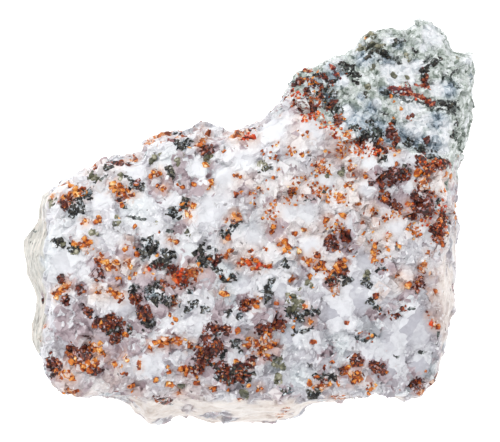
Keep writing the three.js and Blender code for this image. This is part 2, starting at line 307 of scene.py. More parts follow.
FLAKE_SPOTS = [
    (-14.8, 17, 1.5, -13, 15.4), (-13.2, 18.6, 0.6, -13.2, 17), (-28, 12.2, 1.2), (-27, 11.2, 0.8),
    (-21.2, 7, 1.1, -22.6, 7.6), (-34.2, 2.4, 1.7), (-32.8, 3, 1.1), (-31.3, 5.8, 0.9, -33, 4.8),
    (-37.4, -3.6, 1.2), (-34.6, -5.4, 1.1, -33.6, -5.2), (-25.6, 3.9, 0.5, -24.6, 3.5),
    (-14.8, 2.2, 1.4), (-12.7, 3.4, 0.9), (-15.4, 9.8, 0.9), (-12.6, 3.8, 0.7),
    (-3.9, -2, 0.7, -2.2, 0.3), (-5.3, -2.1, 0.8), (-19, -4.2, 1.8), (-16, -6.4, 1.7), (-20.5, -6, 1.3),
    (-17.8, -8, 1.2), (-9, -7.4, 1.8), (-9.4, -5.3, 0.8, -6.8, -5.3), (-7, -8.7, 0.7, -3.6, -11),
    (-3.2, -10.6, 0.8), (-22.6, -12.9, 1.2), (-19.5, -13.3, 1.3), (-18.3, -14.3, 1.1, -15.5, -15.4),
    (-20, -19.6, 1.4), (-23.4, -20.6, 1), (-26.4, -21.4, 1), (-17.3, -12, 0.9), (-11.4, -13.6, 0.8),
    (3.3, -12.9, 1.1), (4.4, -11.3, 0.7, 3.6, -14.8), (7.6, -17.6, 1.1, 9.6, -18.4),
    (10.4, -17.6, 0.6, 13.5, -17), (-2.2, -24.3, 1), (-3.3, -23.6, 0.9), (6.8, -32.7, 0.6),
    (-2.6, -28.8, 0.6, 0, -29.6), (-5.6, -29.4, 1), (12.9, -29.9, 0.6, 16.4, -30.3), (12.4, -33.6, 1),
    (14, -32.8, 0.7, 12, -34), (23, -15.2, 0.6, 25.6, -17.2), (22.6, -11.5, 1.1),
    (20.4, -22.2, 0.5, 22.4, -23.1), (25, -9.3, 0.5, 26.7, -8.8), (-17.2, -34.9, 0.9, -15.4, -35.9),
    (37.2, -32.4, 0.7), (18.8, -11.5, 0.8), (16, -11.6, 0.7, 18.5, -12), (1.7, 10, 0.5, 4, 10.8),
    (13.9, 5, 0.6), (36.6, 3.8, 0.7), (39, 0.6, 1.2), (8.3, -5.6, 0.6), (6.9, -8.3, 0.9),
    (-1.9, -18.2, 0.9), (-4, -17.6, 0.8), (-6, -29.8, 1.4, -1, -30.4), (-8, -27.4, 1), (-6.4, -22, 0.8),
    (-9.6, -24.4, 0.8), (-5, -26, 0.9), (-24, 8.9, 0.6), (-8.8, -16.4, 0.8),
    (-12, -17, 0.8, -10.4, -15.4), (8.8, -21.4, 0.5, 12.4, -20.6),
]

# Cracks and flakes seen on edge: thin dark lines in the broken face.
STREAKS = [
    (-30.3, 8, 0.35, -28, 9.4), (-23.5, 1.2, 0.4, -20.4, 0.7), (-16, -1.6, 0.35, -14.7, -1.7),
    (22.6, -23, 0.4, 24.8, -21.8), (32.6, -13.6, 0.4, 34.6, -13.9), (31, -17, 0.35, 32.2, -16.7),
    (33, -25.5, 0.3, 34.2, -25.5), (28.2, -26, 0.3, 29.3, -26.6), (-18.2, -37.6, 0.3),
    (10.6, 4.4, 0.35, 13.8, 4.6), (12.4, 9.6, 0.3, 12.9, 8.9), (10.3, -35.8, 0.35, 9.9, -38.6),
    (37.2, -21.5, 0.35, 36.9, -24), (-43.6, -1.4, 0.3, -40, -3.2), (-44.4, -3.6, 0.3, -42.6, -4.8),
    (-44.2, -8, 0.3, -43.4, -11), (-42.6, -19, 0.3, -43, -23), (-41.6, -26, 0.3, -41, -29.6),
    (40.6, -10, 0.3, 40, -17), (36.4, 24, 0.35, 43.4, 24), (36.8, 23.2, 0.35, 43.6, 22.9),
    (37.4, 22.4, 0.3, 43, 22.2), (39, 21.5, 0.35, 43.2, 21.4), (38.3, 28.8, 0.35, 41.6, 30.4),
    (26, 25.8, 0.35, 30.6, 24.6), (28, 24.9, 0.3, 32, 23.6), (34.4, 31.6, 0.35, 36.6, 32.6),
    (29.6, 31.9, 0.3, 26.6, 33), (32.6, 24.2, 0.3, 36.2, 22.8),
]

# Rust-red stain along cracks in the corner.
RED_STREAKS = [
    (27.6, 26.6, 0.5, 31.4, 26.2), (30.6, 26.3, 0.4, 35.4, 24.1), (29, 25.6, 0.3, 33, 24.9),
    (34.2, 24.8, 0.5, 35.8, 23.6), (34.4, 30.4, 0.4, 35, 28.6), (35.2, 29, 0.5, 34.6, 27.4),
    (33, 27.2, 0.3, 36, 26.4), (16, 30.6, 0.4, 17.6, 28.2), (10, 30.3, 0.35, 13, 29.6),
    (8.6, 27.6, 0.4, 11.4, 28.6),
]

# Grains with a redder glow.
HOT_SPOTS = [
    (-31.5, 11.3, 2.2), (-27, 12.6, 1.6), (-3.5, 17.4, 1.6, 0.7, 17.1), (-9.4, 17, 1.6),
    (8.4, 28.6, 1.4, 10, 24), (12, 22.6, 1.4, 17, 17.4), (27.6, 26.5, 1.4, 35.3, 24.2),
    (21, 14.6, 1.2, 25, 14), (38, 11, 2.4), (-14, -10.6, 1.8), (33, 5, 3), (38.6, 4, 2.4),
    (36, -1, 2.4), (-19.6, -8.6, 1.2), (27, -3, 1.6), (10, 21, 2.2), (28, 9, 2.4),
    (-6, -8.6, 1.4, 3, -9), (35.4, -19.4, 1.6), (17, -35, 2.4), (-41, -22, 1.6), (34, 12, 2),
]

OLIVE_SPOTS = [
    (-30.4, -1.6, 0.9), (-38.9, 4.1, 1.1), (-18.3, 0.1, 0.7), (-12, -2, 1), (-25.9, 1.7, 0.6),
    (-25.9, -0.2, 0.8), (-19.4, 12.3, 1), (-17.8, 13.6, 0.8), (-30.1, 9.1, 0.9), (-31.4, 9.4, 0.8),
    (-25.2, 9, 0.6), (-20, 16.6, 1), (5.6, -27.5, 1.5), (5.5, -31, 1.1), (-1, -33.1, 0.9),
    (9.1, -14.9, 1.5), (8.9, -16.4, 1.2), (7.4, -14.2, 0.7), (-13.2, -32.5, 0.7), (15.3, 9.5, 0.7),
    (2.8, 11.1, 1.1), (-14, 12.3, 0.9), (-15.2, 10.2, 0.9), (-37.4, -3.8, 0.9), (-34.4, -5.8, 0.9),
    (23.5, 37.4, 1.1), (21.9, 35, 0.9), (26.2, 35.1, 1), (22.9, 34.3, 0.4, 25, 35.7), (24.1, 30.3, 0.7),
    (28.3, 29.3, 0.7), (31.2, 28.6, 0.7), (23.4, 26.3, 0.8), (18.2, 9.8, 0.6), (9, -5.8, 0.9),
    (9.8, -13, 0.7), (34.4, -36.6, 1.2), (22.6, -10.4, 0.8), (11.8, -12.2, 0.7), (-34.2, -5.8, 1),
    (-8, 13, 0.8), (41.5, 33, 0.6), (-23, 16, 0.8), (31.4, 32.4, 0.6),
]

CORNER_RED_SPOTS = [
    (34.8, 24.4, 0.7), (34.8, 27.8, 0.7), (35, 29.2, 0.5), (12.4, 27.2, 0.8), (13.4, 24.6, 0.8),
    (15.8, 22.6, 0.8), (11.6, 23, 1.1), (17.2, 20.2, 1.2), (14, 29, 0.5, 16.6, 26.8), (9.6, 27.8, 1.1),
    (8.2, 27.4, 0.8), (11.2, 25.8, 1), (27.6, 17.6, 1.1), (29.2, 16, 0.8), (31.8, 20.6, 0.6),
    (34.8, 16.4, 0.8), (21.6, 15.2, 1.2), (25.6, 14.8, 1.1), (33.4, 12.4, 1.3), (36.6, 11.6, 1.6),
    (39.2, 11.4, 1.3),
]

CORNER_BLACK_SPOTS = [
    (19.6, 30.6, 1.5), (21, 29, 1.1), (21.1, 27.4, 0.5), (24.2, 33.9, 1.3), (26.6, 33.4, 1.1),
    (18.4, 31.4, 0.8), (28.5, 35.1, 0.7, 30.4, 36.4), (34.8, 30.7, 0.45, 37.9, 32.4),
    (34.8, 30.2, 0.5, 34.3, 28.8), (40, 23.2, 0.9), (42, 22.6, 0.8), (38, 23.4, 0.7), (10.5, 28.8, 1.1),
    (12.6, 29.2, 0.8), (13.6, 25.4, 1), (15, 23.6, 0.9), (16, 25.4, 1), (17.4, 22, 1.2),
    (20.6, 18.4, 1.1), (22.8, 17.2, 1.4), (25, 17.8, 1.4), (24, 19.4, 0.8), (16.2, 27.6, 0.9),
    (31.4, 15.6, 1.1), (33.8, 14.6, 1.2), (36.4, 13.4, 1), (40.6, 17.2, 1), (41.4, 19.4, 0.6),
    (28, 19.6, 0.7), (22.6, 25, 0.5), (26.4, 21.6, 0.5), (32.8, 34, 0.6), (14.6, 31.4, 0.6),
    (41.2, 26.8, 0.6), (30.6, 10.8, 0.9), (26.2, 12.6, 1),
]

CORNER_BLUE_PATCHES = [
    (19, 20.4, 2.8, 27, 17), (29.7, 17.4, 2, 36.4, 15), (12.4, 27.6, 1.6), (15, 24.4, 2),
    (16.9, 28.4, 2.2), (22.7, 32.6, 2.2), (26.4, 26, 1, 31.1, 24.6), (29.4, 35.6, 1.4), (37, 20, 2.4),
    (27.2, 32, 1.6), (33, 31.6, 0.9), (39.4, 26.4, 2), (24, 22.4, 1.8), (22, 24.6, 1), (15.4, 30.6, 1),
    (26.4, 13, 1.4),
]

CORNER_WHITE_PATCHES = [
    (36.7, 37.4, 2.9), (32.4, 40, 1.3), (27, 30, 1.5, 34.2, 30.8), (30.9, 23.2, 1.6), (37, 26.4, 1.7),
    (18.5, 27.6, 1.2), (14.6, 28, 0.8), (12, 25.6, 0.7), (31.4, 22.4, 2), (34.6, 20.2, 1.4),
    (17.3, 32.4, 1.5), (19, 21.8, 1.4), (18.3, 19.3, 0.8), (30.4, 21, 1), (28.4, 28.4, 1.8),
    (31.6, 28.2, 1.6), (33.2, 22.6, 1.1), (38.8, 19, 1.4), (38.6, 16.6, 1.4), (44, 33, 1.8),
    (21.4, 36, 1.2), (32.4, 18.6, 2), (36, 17.4, 1.4), (27.8, 36.6, 1.5), (25, 23.6, 1),
    (34.6, 34.6, 1), (31, 12, 1.6), (38.6, 14.4, 1.2), (28, 12, 1.6), (23, 13.4, 1.2),
]

# Mauve, half clear crystals, which let the dark minerals below show through.
MAUVE_PATCHES = [
    (-28, -8, 3.4), (-26, -11.6, 2.8), (-18, -10, 3), (-10, -12.4, 3.6), (-14.6, -12.6, 3),
    (-36, -12, 3), (-33, -16.6, 3.2), (-20.4, -12.8, 3), (-17, -17, 3), (-22.4, -19, 3.2),
    (-30, -21.4, 3.6), (-36.4, -22, 3), (-35, -26.2, 2.8, -27, -26), (-22.6, -24, 3), (-15, -22, 3),
    (-32, -32, 1.6), (-38, -29, 2.2), (-18, -4.4, 2.8), (-12, -7.6, 2.8), (-22, -5, 2.4),
    (-8, -10, 2.6), (-14, -1.4, 2), (-5.4, -17.4, 3), (-5, -24, 4), (-10, -28, 3.2), (-4, -31, 3.4),
    (2, -17.6, 2.6, 6.4, -18.4), (4, -22.4, 3), (5, -26, 2.2), (6, -33, 2), (12.2, -18.6, 2.6),
    (15.4, -25, 2.6), (14, -30, 2.2), (18.6, -30, 2.4), (25, -29, 3), (24.4, -18, 2.2), (31, -31, 3),
    (33.4, -33, 2.2), (31.4, -14, 2.2), (16, -10, 2), (16, -4, 2.8), (20, -4.4, 2.4), (5.4, -1, 2.6),
    (5, 4, 1.8), (12, 5, 1.3), (26, 5, 2), (30.4, 3, 2.6), (34.6, 0, 2.2), (27, 8, 1.8), (8, 10.4, 1.6),
    (-1, 6, 2.4), (-1, 15, 2), (-11.4, 6.4, 2.2), (-18, 8, 2.6), (-34, 5, 2), (-31, 10, 1.6),
    (1, -8, 2), (37, -3, 2.2), (-27.4, 12, 1.8), (-13.4, 11.6, 2.2), (-36.8, -17.6, 2.4),
    (28.6, -9, 1.6),
]

# Crystals with a warm blush, from a trace of iron.
BLUSH_PATCHES = [
    (-1, 8, 4), (8, 6, 5), (14, -2, 5), (20, 6, 4), (18, 12.6, 3), (16, 14, 3), (26, -3, 4),
    (37.4, 3, 3), (38.6, -10, 3, 37.4, -20), (-27, -31, 4), (-12, -34, 4.6), (18, -36.6, 3),
    (5, -37, 3.6), (0, -6, 4), (-32, 13.6, 2), (36, -36, 2.4), (6, -1, 4), (-37, -30, 3), (-1, 16, 3),
    (9, 17.6, 4), (30, -11, 3), (-22, -33, 3), (-31, -34, 3), (-17, -36, 3), (-35, -31, 3),
    (-30, -14, 3), (-27, 12, 2.4), (24, 3, 4), (-24, -8, 3), (38, 8, 2.6), (28, 1, 4),
]

# Cool crystals with a trace of green, and the cleanest white ones.
COOL_PATCHES = [
    (-22, 3, 4), (-15, 12, 3.4), (-13, 1, 3), (-38, -4, 3.4), (-12, -6.6, 2.6, -3, -10.6), (5, -28, 2),
    (-9, 10, 3), (-40, -8, 3), (-13, 17.6, 2), (8, -22, 3.4), (9.6, -30, 3), (17.6, -24, 3),
    (24, -22, 3), (36, -29, 3.4), (-34, 1, 3), (31, -14, 2.4), (0.6, -2.6, 3), (-4, -14, 3),
]
CLEAN_PATCHES = [
    (-8, 1.6, 3.2), (0.6, -2.6, 2), (15, 8, 1.8), (26.4, 1.4, 1.6), (-5, 9, 2.4), (12.4, 18.4, 3),
    (4.6, 18.4, 3.6), (20.6, -13, 3.2), (17.4, -17.6, 3.6), (30, -22, 4), (22.4, -8, 2),
    (-36, -7.6, 3.6), (-33, -0.6, 2.4), (-25, -15.8, 2.4), (11, 1.8, 2.8), (-1.4, -12.8, 2),
    (-20, -28, 3.2), (8, -22.4, 2), (-10, 10.6, 2), (28.2, 12, 2.4), (40.4, 5, 1.8), (28.4, -0.8, 2.2),
    (12, -4.6, 2.4), (8, 2, 2), (23, 6.4, 2.2), (31, 7.6, 1.6), (20, -1, 2), (-37.6, 7.6, 2.4),
    (-23.4, 10.6, 2.6), (-29, 4.6, 2.2), (22.8, 12, 2.2), (32, -21, 5), (22, -14, 4.6), (27, -26, 4.4),
    (6.2, -12.8, 1.8), (-1, 12, 2.6), (4, -9.8, 1.6), (-9.6, -20.8, 1.6), (24, -24.6, 1.8),
    (33.6, -28, 2.6),
]

# The lower left edge of the finer, grey-green corner, as x and y.
CORNER_EDGE = [
    (3, 33), (7.5, 26), (10.5, 21.6), (15.5, 18.6), (20, 16), (25.5, 15.4), (31, 13.6), (37, 11.6),
    (46, 11),
]

# The edge slopes, so a point's distance to it is about this share of the distance straight down to it.
CORNER_EDGE_LEAN = 0.8

# How far out from the middle the smooth bands begin on the left, the lower and the right edges.
LEFT_BAND_MM = 40.4
LOWER_BAND_MM = 34.4
RIGHT_BAND_MM = 37.2


def spread(points, spots, full=0.65, gone=1.2):
    """Strength of a mineral at each point: 1 inside a spot, none past its edge."""
    strength = np.zeros(len(points))
    for x, y, radius, *end in spots:
        start = np.array([x, y])
        along = np.array(end or [x, y]) - start
        share = (points[:, :2] - start) @ along / max(along @ along, 1e-9)
        nearest = start + np.clip(share, 0, 1)[:, None] * along
        away = np.linalg.norm(points[:, :2] - nearest, axis=1) / radius
        strength = np.maximum(strength, np.clip((gone - away) / (gone - full), 0, 1))
    return strength


def swell(points, size_mm, shift):
    """Soft noise about 0 at each point, its patches about that wide."""
    offset = Vector((shift, 2 * shift, 3 * shift))
    return np.array([noise.noise(Vector(p) / size_mm + offset) for p in points])


def smooth_step(values, start, end):
    """0 before start, 1 after end, smooth between."""
    t = np.clip((values - start) / (end - start), 0, 1)
    return t * t * (3 - 2 * t)


# ---- The skin and what shows where on it ----


def bare_skin():
    """The CAD solid's skin, remeshed to even squares."""
    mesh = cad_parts[ROCK].data.copy()
    mesh.name = "skin"
    skin = bpy.data.objects.new("skin", mesh)
    bpy.context.scene.collection.objects.link(skin)
    weld = skin.modifiers.new("weld", "WELD")
    weld.merge_threshold = 0.001 * MM
    remesh = skin.modifiers.new("remesh", "REMESH")
    remesh.mode = "VOXEL"
    remesh.voxel_size = SKIN_GRID_MM * MM
    graph = bpy.context.evaluated_depsgraph_get()
    result = bpy.data.meshes.new_from_object(skin.evaluated_get(graph), depsgraph=graph)
    bpy.data.objects.remove(skin)
    result.materials.clear()
    return result


def zones(points, up):
    """The parts of the skin that the minerals follow, and soft noise for chance, at each point."""
    x, y, z = points.T
    wide = swell(points, 7.0, 3.1)
    wide_too = swell(points, 6.0, 9.7)
    narrow = swell(points, 2.6, 17.3)
    narrow_too = swell(points, 2.4, 41.9)

    # The listed spots hold wherever the rock is seen from above; elsewhere chance takes over.
    seen = smooth_step(z, 5, 8) * smooth_step(up, 0.1, 0.35)
    hidden = 1 - seen
    wall = 1 - smooth_step(up, 0.3, 0.75)

    # Out of sight from above, the zones' edges wander and slant instead of running straight down.
    wander = hidden * 6 * wide
    slant = hidden * 0.3 * (z - 18)
    jitter = swell(points, 3.0, 5.5) * 1.6 + swell(points, 1.2, 25.5) * 0.9
    edge_xs, edge_ys = zip(*CORNER_EDGE)
    depth = (y - np.interp(x, edge_xs, edge_ys)) * CORNER_EDGE_LEAN + jitter + wander + slant
    corner = smooth_step(depth, -0.4, 0.6) * smooth_step(z, 2, 9)
    rock_only = 1 - corner

    # Smooth bands run along three edges. The lower and right ones break up into patches further down.
    patchy = smooth_step(wide + narrow + 0.035 * (z - 20), -0.35, 0.0) * smooth_step(z, 8, 13)
    left = smooth_step(-x + narrow + wander + 0.5 * slant, LEFT_BAND_MM, LEFT_BAND_MM + 1.2)
    left = left * smooth_step(z, 9.5, 14)
    lower = smooth_step(-y + 1.6 * narrow, LOWER_BAND_MM, LOWER_BAND_MM + 1.4) * patchy
    right = smooth_step(x + 1.2 * narrow, RIGHT_BAND_MM, RIGHT_BAND_MM + 1.4) * smooth_step(-y, 0, 4) * patchy
    cream = np.maximum(lower, right * 0.8)
    smooth_band = np.clip(np.maximum(left * 0.7, cream), 0, 1) * rock_only
    clean = spread(points, CLEAN_PATCHES, 0.5, 1.15) * seen
    pale_corner = corner * np.maximum(
        seen * spread(points, CORNER_WHITE_PATCHES, 0.7, 1.1), hidden * smooth_step(wide_too, 0.2, 0.4)
    )
    # Away from the key light: towards the lower edge, and a little to the right.
    forward = 0.3 * x - y
    return SimpleNamespace(
        points=points, x=x, y=y, z=z, up=up, wide=wide, wide_too=wide_too, narrow=narrow,
        narrow_too=narrow_too, seen=seen, hidden=hidden, wall=wall, corner=corner, rock_only=rock_only,
        left=left, cream=cream, smooth_band=smooth_band, clean=clean, pale_corner=pale_corner,
        forward=forward, away_from_key=smooth_step(forward, -20, 10),
    )


def tones(at):
    """How strongly each tone of the rock itself shows at each point, and where shade is painted on it."""
    points, seen, hidden = at.points, at.seen, at.hidden
    # The half-clear crystals round the dark red grains look darker and more violet.
    mauve = np.maximum(
        spread(points, MAUVE_PATCHES, 0.3, 1.3), 0.95 * spread(points, DARK_RED_SPOTS, 0.7, 1.7)
    )
    # Out of sight from above, mauve comes by chance, with painted shade making it stronger away from the key
    # light.
    hidden_mauve = smooth_step(at.wide_too, -0.05, 0.45) * (0.3 + 0.7 * at.away_from_key)
    blush = seen * spread(points, BLUSH_PATCHES, 0.2, 1.3) + hidden * smooth_step(at.wide, -0.1, 0.4)
    cool = seen * spread(points, COOL_PATCHES, 0.2, 1.3) + hidden * smooth_step(-at.wide, 0, 0.4)
    hidden_clean = hidden * smooth_step(-at.wide_too, 0.1, 0.4) * 0.7
    # Painted shade: the crystals are coloured darker towards the lower edge and the right, and on walls
    # facing away from the key light; out of sight from above, darker still on walls.
    painted_shade = np.maximum(1.35 * smooth_step(at.forward, 5, 30), 1.2 * at.wall * at.away_from_key)
    hidden_painted_shade = (0.4 + 0.5 * at.wall) * (0.2 + 0.8 * at.away_from_key)
    # Grains stand proud only where the skin faces up: not on steep walls, below, or next to the floor.
    proud = (1 - smooth_step(0.66 - at.up, 0, 0.36)) * smooth_step(at.z, 0.9, 1.8)
    stain = np.maximum(
        spread(points, ORANGE_SPOTS, 0.8, 2.0), 0.8 * spread(points, FINE_ORANGE_SPOTS, 0.7, 1.6)
    )
    blue = seen * spread(points, CORNER_BLUE_PATCHES, 0.5, 1.3)
    return {
        "corner": at.corner,
        "cream_band": at.cream * at.rock_only,
        "ribbed_band": at.left * at.rock_only,
        "mauve": seen * mauve + hidden * hidden_mauve,
        "blush": np.clip(blush, 0, 1),
        "cool": np.clip(cool, 0, 1),
        "clean": np.maximum(at.clean + hidden_clean, at.pale_corner),
        "corner_white": at.pale_corner,
        "painted_shade": seen * painted_shade + hidden * hidden_painted_shade,
        "proud": proud,
        "stain": seen * stain,
        "hot": np.clip(spread(points, HOT_SPOTS, 0.6, 1.3) * seen, 0, 1),
        "streak": seen * (1 - 0.6 * at.wall) * spread(points, STREAKS, 0.3, 1.6),
        "red_streak": seen * spread(points, RED_STREAKS, 0.3, 1.6),
        "corner_blue": np.maximum(blue, hidden * smooth_step(-at.wide, 0.2, 0.6) * 0.6),
    }


def minerals(at):
    """How strongly each mineral shows at each point: in its spots, and loose or in clusters by chance."""
    points, seen, hidden = at.points, at.seen, at.hidden
    plain = np.clip(at.clean + at.smooth_band + at.wall * 0.6, 0, 1)
    fine_side = smooth_step(at.x + 0.6 * at.y, -4, 12)
    loose_orange = smooth_step(at.narrow, 0.22, 0.45) * 0.5 * (1 - plain)
    loose_orange = loose_orange * at.rock_only * (1 - fine_side * 0.6)
    loose_fine = smooth_step(at.narrow_too, 0.1, 0.4) * 0.36 * (1 - plain) * fine_side
    loose_fine = loose_fine * (1 - at.corner * 0.9)
    cluster_orange = smooth_step(at.wide + 0.7 * at.narrow, 0.16, 0.5)
    cluster_fine = smooth_step(at.narrow_too, 0.3, 0.5) * 0.4
    cluster_red = smooth_step(at.wide_too + 0.8 * at.narrow_too, 0.22, 0.55)
    cluster_flake = smooth_step(swell(points, 5.0, 57.1) + 0.8 * swell(points, 2.0, 63.3), 0.34, 0.66)
    cluster_olive = smooth_step(swell(points, 3.0, 71.7), 0.4, 0.55)
    cluster_black = hidden * at.corner * smooth_step(at.narrow, 0.3, 0.5)
    hidden_rock = hidden * at.rock_only * (1 - 0.7 * at.smooth_band)
    orange = np.maximum(spread(points, ORANGE_SPOTS, 0.55, 1.05), loose_orange)
    fine_orange = np.maximum(spread(points, FINE_ORANGE_SPOTS), loose_fine)
    dark_red = np.maximum(spread(points, DARK_RED_SPOTS, 0.7, 1.25), spread(points, CORNER_RED_SPOTS))
    pale = at.rock_only * (1 - 0.9 * at.smooth_band) * (1 - 0.85 * np.clip(at.clean, 0, 1))
    return {
        "orange": seen * orange + hidden_rock * cluster_orange,
        "fine_orange": seen * fine_orange + hidden_rock * cluster_fine,
        "dark_red": seen * dark_red + hidden_rock * cluster_red,
        "flake": seen * spread(points, FLAKE_SPOTS) + hidden_rock * cluster_flake,
        "olive": seen * spread(points, OLIVE_SPOTS) + hidden_rock * cluster_olive,
        "corner_black": seen * spread(points, CORNER_BLACK_SPOTS) + cluster_black,
        "corner_grain": at.corner * (1 - 0.95 * at.pale_corner) * (1 - 0.7 * at.wall) * 0.35,
        "pale": pale * (1 - 0.5 * at.wall),
    }


def mark_minerals(mesh):
    """Stores on the skin how strongly each tone and each mineral shows at each point."""
    points = np.empty(len(mesh.vertices) * 3, np.float32)
    mesh.vertices.foreach_get("co", points)
    normals = np.empty(points.size, np.float32)
    mesh.vertices.foreach_get("normal", normals)
    at = zones(points.reshape(-1, 3).astype(float) / MM, normals.reshape(-1, 3)[:, 2])
    for name, values in {**tones(at), **minerals(at)}.items():
        attribute = mesh.attributes.new(name, "FLOAT", "POINT")
        attribute.data.foreach_set("value", np.asarray(values, np.float32))


# ---- Materials ----


def weighted(tree, *terms):
    """The sum of some numbers, each times its weight."""
    total = 0.0
    for value, weight in terms:
        total = add(tree, MATH, value, weight, total, operation="MULTIPLY_ADD")
    return total


def coated(tree, base, *coats):
    """A base colour with coats over it: for each, where it shows, how strong it is and its colour."""
    for share, strength, coat in coats:
        share = add(tree, MATH, share, strength, operation="MULTIPLY")
        base = add(tree, MIX, inputs={"Factor": share, "A": base, "B": coat}, data_type="RGBA")
    return base


# The tones that the rock's colours follow, as they are stored on its skin; one of them is painted shade.
ROCK_TONES = (
    "corner", "cream_band", "ribbed_band", "mauve", "blush", "cool", "clean", "corner_white",
    "corner_blue", "painted_shade", "stain",
)

# Minerals that lie flush in the broken face. For each: the strength at which it shows, the facets and
# which of their random numbers tone its grains, and the tones.
# The palest tones of the flake, dark_red and orange minerals are painted glints.
FLUSH = {
    "streak": (0.8, "sugar", "X", [(0.0, "#9aa19f"), (0.3, "#5d6361"), (0.7, "#2f3332"), (1.0, "#1a1c1c")]),
    "red_streak": (
        0.72, "sugar", "X", [(0.0, "#dd936c"), (0.22, "#b54a2b"), (0.48, "#7c2a26"), (1.0, "#431a26")],
    ),
    "olive": (1.1, "fine", "Y", [(0.0, "#b3b09c"), (0.4, "#8b8871"), (0.75, "#66654f"), (1.0, "#3f4033")]),
    "flake": (
        1.08, "sugar", "Z",
        [(0.0, "#dfe5e8"), (0.2, "#a3b0b8"), (0.38, "#5f6a70"), (0.65, "#31353a"), (1.0, "#141617")],
    ),
    "corner_black": (
        1.05, "sugar", "Z",
        [(0.0, "#b9c3c1"), (0.16, "#75827b"), (0.36, "#414d46"), (0.62, "#252c28"), (1.0, "#101412")],
    ),
    "dark_red": (
        0.92, "sugar", "Z",
        [(0.0, "#cfc3ca"), (0.1, "#8f747d"), (0.22, "#94481f"), (0.4, "#632416"), (0.7, "#391715"),
         (1.0, "#190e0e")],
    ),
    "orange": (
        1.04, "fine", "Z",
        [(0.0, "#54200f"), (0.25, "#8c3f18"), (0.5, "#ba6427"), (0.75, "#d38f4d"), (0.9, "#dfc3b0")],
    ),
    "fine_orange": (
        1.35, "fine", "Z", [(0.0, "#8a3a1a"), (0.4, "#b9571f"), (0.8, "#d1803c"), (1.0, "#e2b070")],
    ),
}


def crystal_colour(tree, marks, numbers, cloud):
    """Pale crystals: each has its own tone, with painted shade in it, and its chips vary round it."""
    large, chip, sugar = numbers["large"], numbers["chip"], numbers["sugar"]
    # The tone is darkened by painted shade towards the lower edge and on walls away from the key light.
    tone = weighted(
        tree, (large["Y"], 0.46), (chip["X"], 0.24), (sugar["X"], 0.08), (cloud, 0.44), (marks["painted_shade"], 0.18)
    )
    # The clean crystals cleave smooth and stay one tone.
    soft_tone = weighted(tree, (tone, 1.0), (chip["X"], -0.18), (sugar["X"], -0.06))
    base = add(
        tree, RAMP, tone,
        stops=[(0.34, "#e1e1e4"), (0.58, "#dbdbdf"), (0.72, "#cfcfd4"), (0.85, "#b9b7be"), (0.97, "#9c979e")],
    )
    cool = add(tree, RAMP, tone, stops=[(0.36, "#e6ebec"), (0.65, "#cfd7da"), (0.9, "#9ba8ad")])
    warm = add(tree, RAMP, tone, stops=[(0.36, "#ece4e0"), (0.62, "#e2d5d0"), (0.9, "#c3afab")])
    white = add(
        tree, RAMP, soft_tone,
        stops=[(0.22, "#dee0e3"), (0.5, "#d7d8dd"), (0.68, "#cbccd1"), (0.84, "#b2b2bb")],
    )
    # Here and there a small face is painted white as a glint, and a speck of dark ore shows.
    painted_glint = add(tree, RANGE, sugar["X"], 0.93, 0.95, 0.0, 0.7)
    speck = add(tree, RANGE, sugar["Y"], 0.985, 0.99, 0.0, 0.7)

    # Mauve crystals stand crisp against the white ones.
    pick = weighted(
        tree, (large["X"], 0.56), (chip["Y"], 0.36), (sugar["Z"], 0.08), (marks["mauve"], 0.48),
        (marks["clean"], -0.2),
    )
    chosen = add(tree, RANGE, pick, 0.74, 0.84, 0.0, 0.92)
    depth = weighted(tree, (chip["Z"], 0.45), (cloud, 0.6))
    mauve = add(
        tree, RAMP, depth, stops=[(0.15, "#cdc3c8"), (0.4, "#b7a9af"), (0.65, "#9b888f"), (0.88, "#705b62")]
    )
    # Rust has crept into the crystals round the orange grains.
    stained = add(tree, MATH, marks["stain"], chip["Y"], operation="MULTIPLY")
    return coated(
        tree, base,
        (marks["cool"], 0.6, cool),
        (marks["blush"], 0.75, warm),
        (painted_glint, 1.0, colour("#f2f2f5")),
        (speck, 1.0, colour("#4d4744")),
        (marks["clean"], 0.9, white),
        (chosen, 1.0, mauve),
        (stained, 0.55, colour("#c49474")),
    )


def band_colours(tree, place):
    """Smooth bands, drawn out along the edges: cream for the lower and right, ribbed grey for the left."""
    cream = [(0.3, "#c2b3a8"), (0.45, "#d5cbc3"), (0.6, "#e0dad6"), (0.75, "#d8cbbf")]
    ribs = [(0.32, "#757468"), (0.42, "#a3a198"), (0.55, "#bbb8ae"), (0.7, "#cabfb3")]
    made = []
    for drawn_out, scale, detail, stops in (
        ((0.12, 0.8, 0.8), 1.0, 4.0, cream),
        ((1.1, 0.25, 0.6), 1.1, 3.0, ribs),
    ):
        along = add(tree, VECTOR, place, drawn_out, operation="MULTIPLY")
        streak = add(tree, NOISE, inputs={"Vector": along, "Scale": scale, "Detail": detail}).outputs["Fac"]
        made.append(add(tree, RAMP, streak, stops=stops))
    return made


def corner_colour(tree, marks, numbers, cloud):
    """The corner: fine grains of grey-green, with patches of white and of blue-grey."""
    tone = weighted(tree, (numbers["fine"]["X"], 0.3), (numbers["chip"]["X"], 0.3), (cloud, 0.72))
    green = add(
        tree, RAMP, tone,
        stops=[(0.4, "#e9edee"), (0.56, "#d8dedc"), (0.7, "#b8c0bb"), (0.83, "#8a958c"), (0.95, "#566159")],
    )
    blue = add(
        tree, RAMP, tone,
        stops=[(0.42, "#dde3e8"), (0.6, "#b4c0cb"), (0.73, "#7f8f9c"), (0.85, "#4a5c6a"), (0.95, "#28343c")],
    )
    milk = add(tree, RAMP, tone, stops=[(0.45, "#f0f1f4"), (0.72, "#e2e5ea"), (0.92, "#bcc2c9")])
    return coated(tree, green, (marks["corner_blue"], 1.0, blue), (marks["corner_white"], 0.88, milk))


